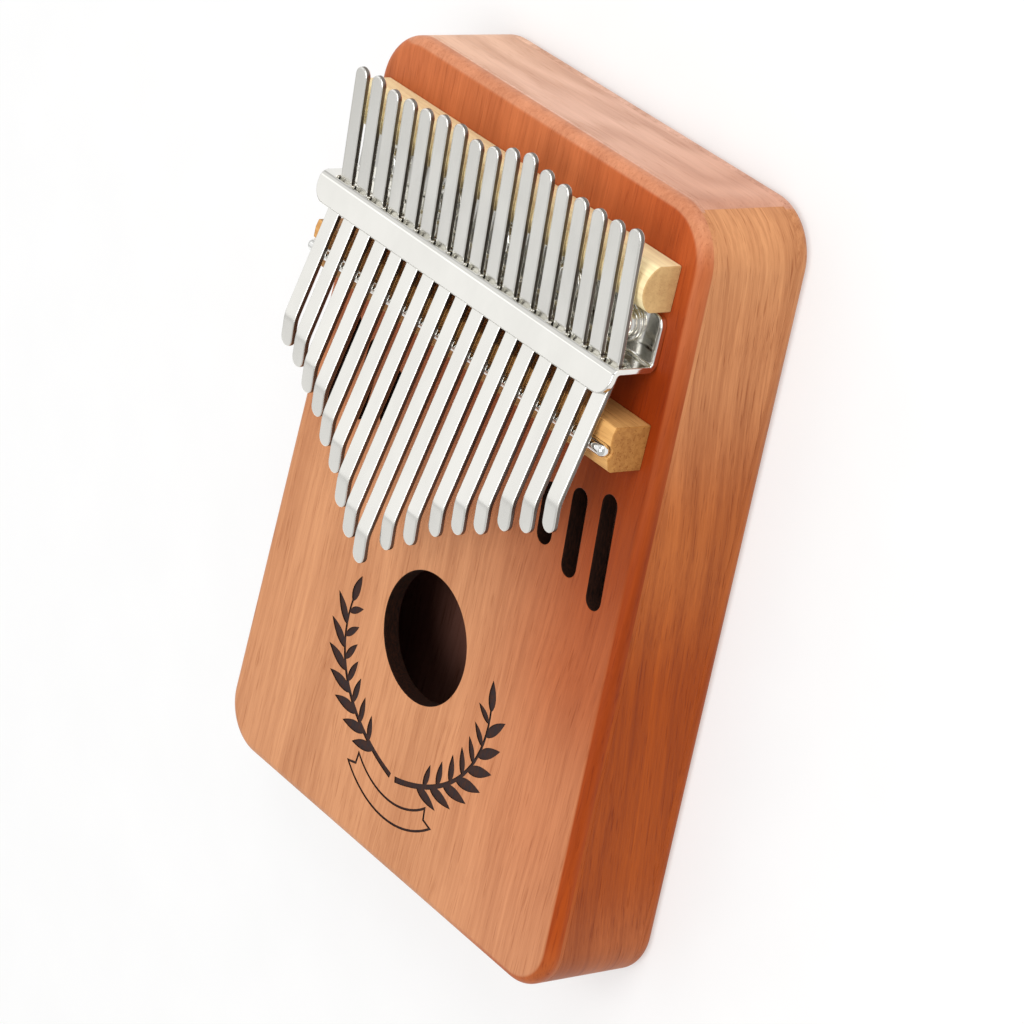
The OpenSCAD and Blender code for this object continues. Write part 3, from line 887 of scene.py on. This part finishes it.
def bracket():
    """One bent sheet: flange, fold, slotted web, fold and lip, as a grid of points along X."""
    mid = FOLD + SHEET / 2
    foot = (WEB_Y + SHEET + FOLD, FRONT_Z + SHEET + FOLD)
    head = (WEB_Y - FOLD, WEB_TOP)
    turn = 90 - LIP_RISE
    # A slot for each tine runs from a height on the web to an angle round the upper fold.
    slot_low = FRONT_Z + 7.5
    slot_high = 24.0
    rise = math.radians(LIP_RISE)
    over = arc(head[0], head[1], mid, 0, turn, 13)
    cut = arc(head[0], head[1], mid, slot_high, slot_high, 1)[0]
    over = [p for p in over if abs(p[1] - cut[1]) > 0.06]
    over = sorted(over + [cut], key=lambda p: -p[0])
    tip = over[-1]
    lip = [(tip[0] - d * math.cos(rise), tip[1] + d * math.sin(rise))
           for d in (1.2, 2.2, 3.0, 3.7, 4.2, 4.6, 4.85, LIP_LEN)]
    up = [foot[1] + 0.01, foot[1] + 2.5, slot_low - 0.5, slot_low, slot_low + 0.7, WEB_TOP - 0.5]
    flange = [(FLANGE_Y - d, FRONT_Z + SHEET / 2)
              for d in (0, 0.15, 0.5, 1.0, 1.6, 2.3, 3.1, 4.0, 6.5, 9.0)]
    fold = arc(foot[0], foot[1], mid, 270, 180, 10)
    web = [(WEB_Y + SHEET / 2, z) for z in up[1:]]
    path = Path(flange + fold + web + over + lip)
    rows = path.s
    total = rows[-1]
    low_row = len(flange) + len(fold) + 2
    high_row = next(k for k, p in enumerate(path.pts) if (p - Vector(cut)).length < 1e-6)
    lo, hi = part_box("bracket")
    x0, x1 = lo[0] / MM, hi[0] / MM
    gap = TINE_W / 2 + 0.3
    xs, slots = [x0], []
    for i in TINES:
        c = tine_x(i)
        for d in (-gap - 0.35, -gap, -gap + 0.5, gap - 0.5, gap, gap + 0.35):
            xs.append(c + d)
        slots.append((c - gap, c + gap))
    xs.append(x1)
    for extra in (0.5, 1.0, 1.8, 2.8, 4.0):
        xs.append(x0 + extra)
    xs = sorted(xs)
    pin = 6.0

    def squeeze(x, s):
        """Draws the ends in where the corners are round, fading out over the length pin."""
        for r, d in ((FLANGE_CORNER, s), (LIP_CORNER, total - s)):
            if d < r:
                cut_in = r - math.sqrt(max(r * r - (r - d) ** 2, 0.0))
                if x < x0 + pin:
                    x = x + cut_in * (x0 + pin - x) / pin
                elif x > x1 - pin:
                    x = x - cut_in * (x - x1 + pin) / pin
        return x

    points, normals, faces = [], [], []
    for s in rows:
        p, d = path.at(s)
        n = Vector((0, -d.y, d.x))
        for x in xs:
            points.append(Vector((squeeze(x, s), p[0], p[1])))
            normals.append(-n)
    w = len(xs)
    for r in range(len(rows) - 1):
        for c in range(w - 1):
            mid_x = (xs[c] + xs[c + 1]) / 2
            if low_row <= r < high_row and any(a < mid_x < b for a, b in slots):
                continue
            faces.append((r * w + c, r * w + c + 1, (r + 1) * w + c + 1, (r + 1) * w + c))
    a, b, c = (points[k] for k in faces[0][:3])
    if (b - a).cross(c - b).dot(normals[faces[0][0]]) < 0:
        faces = [tuple(reversed(f)) for f in faces]
    live = sorted({k for f in faces for k in f})
    new = {k: j for j, k in enumerate(live)}
    verts, faces, _ = thicken([points[k] for k in live], [normals[k] for k in live],
                              [tuple(new[k] for k in f) for f in faces], SHEET, 0.3, 4)
    piece("bracket_piece", verts, faces, [NICKEL], "root", ["bracket"], sharp=50)


SCREWS, WASHER_R = 5, 4.4


def fasteners():
    """Plain washers and pan-head screws with a cross recess."""
    lo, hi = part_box("bracket_washers")
    r = WASHER_R
    first, last = lo[0] / MM + r, hi[0] / MM - r
    z0, z1 = lo[2] / MM, hi[2] / MM
    y = (lo[1] + hi[1]) / 2 / MM
    washers, screws = Builder(), Builder()
    crown = 1.104
    for k in range(SCREWS):
        x = first + (last - first) * k / (SCREWS - 1)
        profile = [(z0, 1.75), (z0, r - 0.1), (z0 + 0.1, r), (z1 - 0.22, r), (z1 - 0.08, r - 0.06),
                   (z1, r - 0.2), (z1, 1.75)]
        rings = [washers.ring(circle(x, y, radius, 48), z) for z, radius in profile]
        washers.stack(rings + rings[:1])
        head_r, tip_z = 3.4, BOARD_Z - 9.0
        dome = [(z1, head_r - 0.08), (z1 + 0.08, head_r)]
        for a in range(0, 91, 10):
            dome.append((z1 + 0.8 + crown * math.sin(math.radians(a)),
                         head_r - 1.5 * (1 - math.cos(math.radians(a)))))
        top = z1 + 0.8 + crown
        shank = [(tip_z, 0.02), (tip_z + 3, 1.45), (z1, 1.45)]
        rings = [screws.ring(circle(x, y, radius, 48), z) for z, radius in shank]
        rings += [screws.ring(circle(x, y, radius, 48), z) for z, radius in dome]
        screws.stack(rings)
        screws.add(tuple(rings[0]))
        arm, half, recess = 1.55, 0.36, 0.9
        plus = [(half, half), (half, arm), (-half, arm), (-half, half), (-arm, half), (-arm, -half),
                (-half, -half), (-half, -arm), (half, -arm), (half, -half), (arm, -half), (arm, half)]
        a = math.radians(20 * k)
        cross = [(x + px * math.cos(a) - py * math.sin(a), y + px * math.sin(a) + py * math.cos(a))
                 for px, py in plus]
        screws.fill(circle(x, y, dome[-1][1], 48), [], top, 0, [cross], [], recess)
    piece("washers_piece", washers.verts, washers.faces, [SCREW_NICKEL], "root", ["bracket_washers"],
          sharp=50)
    piece("screws_piece", screws.verts, screws.faces, [SCREW_NICKEL], "root", ["bracket_screws"],
          sharp=50)


# ---- tines ----
TONGUE_RISE, TAIL_RISE, TIP_DROP, TIP_LEN = 13.3, 4.5, 4.5, 7.0
BEND_Y, BEND_R, KNEE_R = 56.4, 6.0, 9.0
ROD_GAP = 0.3
BEND_STEPS = 8
HINGE_POINT = BEND_STEPS + 2


def unit(a):
    """A direction in the YZ plane, a degrees up from +Y."""
    return Vector((math.cos(math.radians(a)), math.sin(math.radians(a))))


TONGUE_UP = unit(90 - TONGUE_RISE)
CONTACT = Vector((ROD_Y, ROD_Z)) + (ROD_R + ROD_GAP) * TONGUE_UP
HINGE = CONTACT + TINE_T / 2 * TONGUE_UP


def tine_path(tail_y, tip_y):
    """The middle line of a tine, from its tail to its tip."""
    bend = Vector((BEND_Y, CONTACT.y - (BEND_Y - CONTACT.x) * math.tan(math.radians(TONGUE_RISE))))
    half = (TONGUE_RISE + TAIL_RISE) / 2
    centre = bend + (BEND_R + TINE_T) / math.cos(math.radians(half)) * unit(90 - TONGUE_RISE + half)
    tail_dir = unit(TAIL_RISE)
    tail = bend + tail_dir * (tail_y - BEND_Y) / tail_dir.x + unit(90 + TAIL_RISE) * TINE_T / 2
    run = (CONTACT.x - tip_y - TIP_LEN) / math.cos(math.radians(TONGUE_RISE))
    knee = CONTACT + unit(180 - TONGUE_RISE) * run
    half = (TONGUE_RISE + TIP_DROP) / 2
    low = knee - KNEE_R / math.cos(math.radians(half)) * unit(90 - TONGUE_RISE + half)
    tip_dir = unit(180 + TIP_DROP)
    tip = knee + tip_dir * TIP_LEN / abs(tip_dir.x) + unit(90 + TIP_DROP) * TINE_T / 2
    mid_bend = arc(centre.x, centre.y, BEND_R + TINE_T / 2, 270 + TAIL_RISE, 270 - TONGUE_RISE,
                   BEND_STEPS)
    mid_knee = arc(low.x, low.y, KNEE_R + TINE_T / 2, 90 - TONGUE_RISE, 90 + TIP_DROP, BEND_STEPS)
    return Path([tuple(tail)] + mid_bend + [tuple(HINGE)] + mid_knee + [tuple(tip)])


def tine(i):
    """One strip of spring steel with round ends, running from its shank to its tongue."""
    x, tail_y = tine_x(i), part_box(f"tine_{i:02d}_shank")[1][1] / MM
    tip_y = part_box(f"tine_{i:02d}_tongue")[0][1] / MM
    path = tine_path(tail_y, tip_y)
    total = path.s[-1]
    r, inner = TINE_W / 2, TINE_W / 2 - 0.6
    hinge_s, knee_s = path.s[HINGE_POINT], path.s[HINGE_POINT + 1]
    extra = [hinge_s + d for d in (3, 6, 9, 12)] + [hinge_s - 6]
    rows = sorted([r] + path.s[1:-1] + [total - r] + [s for s in extra if 0 < s < knee_s - 0.5])
    n_arc = 12
    outer_loop, inner_loop = [], []
    for s in rows:
        outer_loop.append((s, -r))
        inner_loop.append((s, -inner))
    for a in arc(total - r, 0, 1.0, -90, 90, n_arc)[1:-1]:
        dx, dy = a[0] - (total - r), a[1]
        outer_loop.append((total - r + r * dx, r * dy))
        inner_loop.append((total - r + inner * dx, inner * dy))
    for s in reversed(rows):
        outer_loop.append((s, r))
        inner_loop.append((s, inner))
    for a in arc(r, 0, 1.0, 90, 270, n_arc)[1:-1]:
        dx, dy = a[0] - r, a[1]
        outer_loop.append((r + r * dx, r * dy))
        inner_loop.append((r + inner * dx, inner * dy))
    n = len(outer_loop)
    faces = [(k, (k + 1) % n, n + (k + 1) % n, n + k) for k in range(n)]
    m = len(rows)
    for k in range(m - 1):
        far = n + 2 * (m - 1) + n_arc - k
        faces.append((n + k, n + k + 1, far - 1, far))
    faces.append(tuple(n + k for k in range(m - 1, m + n_arc)))
    faces.append(tuple([n + k for k in range(2 * m + n_arc - 2, n)] + [n]))
    points, normals = [], []
    for s, off in outer_loop + inner_loop:
        p, d = path.at(s)
        points.append(Vector((x + off, p[0], p[1])))
        normals.append(Vector((0, d.y, -d.x)))
    a, b, c = (points[k] for k in faces[0][:3])
    if (b - a).cross(c - b).dot(normals[faces[0][0]]) < 0:
        faces = [tuple(reversed(f)) for f in faces]
    verts, faces, mats = thicken(points, normals, faces, TINE_T - 2 * SKIN, 0.24, 4)
    # The flat middle of the edges takes the painted shade.
    obj = piece(f"tine_{i:02d}_reed", verts, faces, [TINE_STEEL, TINE_EDGE_SHADE], None,
                [f"tine_{i:02d}_shank", f"tine_{i:02d}_tongue"], mats,
                sharp=60, weighted=False)
    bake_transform(obj)


# ---- stage ----
def softbox(name, direction, distance, size, radiance):
    """A soft light that faces the origin, with its brightness per unit of area."""
    data = bpy.data.lights.new(name, "AREA")
    data.shape = "RECTANGLE"
    data.size, data.size_y = size
    data.energy = radiance * math.pi * size[0] * size[1]
    obj = bpy.data.objects.new(name, data)
    obj.location = Vector(direction).normalized() * distance
    obj.rotation_euler = (-Vector(direction)).to_track_quat("-Z", "Y").to_euler()
    obj.visible_camera = False
    bpy.context.scene.collection.objects.link(obj)


def stage():
    """A plain pale floor, an even world and soft lights."""
    mesh = bpy.data.meshes.new("floor")
    mesh.from_pydata([(-4, -4, 0), (4, -4, 0), (4, 4, 0), (-4, 4, 0)], [], [(0, 1, 2, 3)])
    floor = bpy.data.objects.new("floor", mesh)
    bpy.context.scene.collection.objects.link(floor)
    s = Shade("floor_paper", Roughness=0.9, Specular_IOR_Level=0.1)
    grain = s.noise(s.vector("MULTIPLY", s.position, (40.0, 40.0, 40.0)), 2.0)
    s.set("Base Color", s.mix(grain, (0.44, 0.44, 0.44, 1.0), (0.47, 0.47, 0.47, 1.0)))
    s.bsdf.inputs["Emission Color"].default_value = (1, 1, 1, 1)
    s.bsdf.inputs["Emission Strength"].default_value = 0.46
    mesh.materials.append(s.mat)
    world = bpy.data.worlds.new("world")
    bpy.context.scene.world = world
    world.use_nodes = True
    background = world.node_tree.nodes["Background"]
    background.inputs[0].default_value = (1.0, 0.995, 0.985, 1.0)
    background.inputs[1].default_value = 0.6
    softbox("softbox_left", (-0.69, 0.10, 0.74), 1.6, (1.2, 1.5), 0.45)
    softbox("softbox_front", (-0.66, -0.75, 0.50), 1.6, (1.2, 1.0), 0.25)
    softbox("softbox_low", (-0.69, -0.73, 0.18), 1.6, (0.9, 0.5), 0.5)
    softbox("softbox_back", (-0.62, 0.62, 0.48), 1.6, (1.1, 0.9), 0.26)
    softbox("key_tail", (0.35, 0.85, 0.45), 1.7, (1.0, 1.0), 2.8)
    softbox("key_top", (0.35, 0.15, 1.0), 1.7, (1.0, 1.0), 4.5)
    bpy.context.scene.view_settings.view_transform = "Standard"


make_camera()
soundboard()
back_panel()
rails()
bridges()
rod()
bracket()
fasteners()
for i in TINES:
    tine(i)
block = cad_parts["bracket_block"]
block.data.materials.clear()
block.data.materials.append(INSIDE)
stage()
